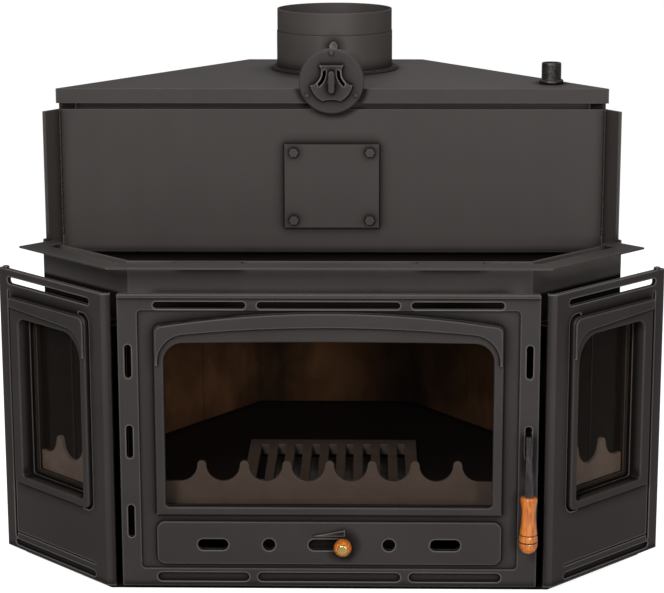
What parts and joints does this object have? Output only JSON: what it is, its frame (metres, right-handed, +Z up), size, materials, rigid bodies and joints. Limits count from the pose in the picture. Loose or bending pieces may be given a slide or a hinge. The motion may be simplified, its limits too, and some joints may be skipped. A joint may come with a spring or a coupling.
{
  "type": "fireplace insert",
  "caption": "Corner fireplace insert with a hinged glazed door, slanted side windows, a latch lever with wooden grip, an air slide, a water tank hood and a top flue collar.",
  "frame": {"origin": "on the hearth under the base plate, in the middle plane, 330 mm behind the door face", "axes": "+X to the right seen from the front, +Y to the back, +Z up; the door faces -Y"},
  "size_m": [1.064, 0.7259, 0.853],
  "materials": {
    "sheet_paint": "satin",
    "dark_sheet": "matt",
    "cast_paint": "satin",
    "bare_casting": "matt",
    "bare_steel": "satin",
    "dark_steel": "satin",
    "pipe_steel": "satin",
    "clear_glass": "gloss",
    "rope_seal": "matt",
    "pan_sheet": "satin",
    "firebrick": "matt",
    "baffle_board": "matt",
    "varnished_wood": "gloss",
    "brass": "gloss"
  },
  "bodies": {
    "insert": {"base_plate": "sheet_paint", "casing_front": "sheet_paint", "casing_side_right": "sheet_paint", "casing_side_left": "sheet_paint", "casing_back_right": "sheet_paint", "casing_back_left": "sheet_paint", "casing_back": "sheet_paint", "rim_front": "sheet_paint", "rim_right": "sheet_paint", "rim_left": "sheet_paint", "hood_front_sheet": "sheet_paint", "inspection_gasket": "rope_seal", "inspection_cover": "sheet_paint", "inspection_bolts": "sheet_paint", "tank_front": "sheet_paint", "tank_back_walls": "sheet_paint", "tank_top": "sheet_paint", "firebox_crown": "dark_sheet", "smoke_tube": "dark_sheet", "flue_collar": "sheet_paint", "regulator_box": "sheet_paint", "regulator_duct": "sheet_paint", "regulator_disc": "cast_paint", "regulator_screws": "sheet_paint", "flow_nipple": "pipe_steel", "return_nipple": "pipe_steel", "front_mouth_frame": "sheet_paint", "side_mouth_frame_right": "sheet_paint", "side_mouth_frame_left": "sheet_paint", "hearth_plate": "dark_sheet", "fire_grate": "bare_casting", "ash_pan": "pan_sheet", "ash_pan_rest": "dark_sheet", "firebricks": "firebrick", "smoke_baffle": "baffle_board", "log_guard_front": "bare_casting", "log_guard_right": "bare_casting", "log_guard_left": "bare_casting", "side_frame_right": "cast_paint", "side_frame_left": "cast_paint", "side_glass_panes": "clear_glass", "side_glass_tapes": "rope_seal", "side_frame_bolts": "bare_steel", "hinge_brackets": "dark_sheet", "latch_keeper": "dark_sheet"},
    "door": {"door_casting": "cast_paint", "door_glass": "clear_glass", "door_glass_tape": "rope_seal", "door_glass_clips": "bare_steel", "door_seal": "rope_seal", "air_slide_guides": "dark_sheet", "latch_pin": "bare_steel"},
    "latch": {"latch_lever": "dark_steel", "handle_grip": "varnished_wood"},
    "air_control": {"air_slide": "dark_sheet", "air_knob": "varnished_wood", "air_knob_cap": "brass"},
    "regulator": {"regulator_shutter": "cast_paint"},
    "damper": {"damper_plate": "dark_sheet", "damper_spindle": "dark_steel"}
  },
  "joints": [
    {"name": "door_swing", "type": "hinge", "parent": "insert", "child": "door", "pos_m": [-0.304, -0.314, 0.24], "axis": [0, 0, -1], "range_deg": [0, 100]},
    {"name": "latch_lift", "type": "hinge", "parent": "door", "child": "latch", "pos_m": [0.3065, -0.316, 0.2455], "axis": [-1, 0, 0], "range_deg": [0, 30]},
    {"name": "air_slide_travel", "type": "slide", "parent": "door", "child": "air_control", "axis": [-1, 0, 0], "range_m": [0, 0.043]},
    {"name": "regulator_turn", "type": "hinge", "parent": "insert", "child": "regulator", "pos_m": [0, -0.062, 0.764], "axis": [0, 1, 0], "range_deg": [0, 60]},
    {"name": "damper_turn", "type": "hinge", "parent": "insert", "child": "damper", "pos_m": [0, 0.232, 0.799], "axis": [0, 1, 0], "range_deg": [0, 90]}
  ]
}
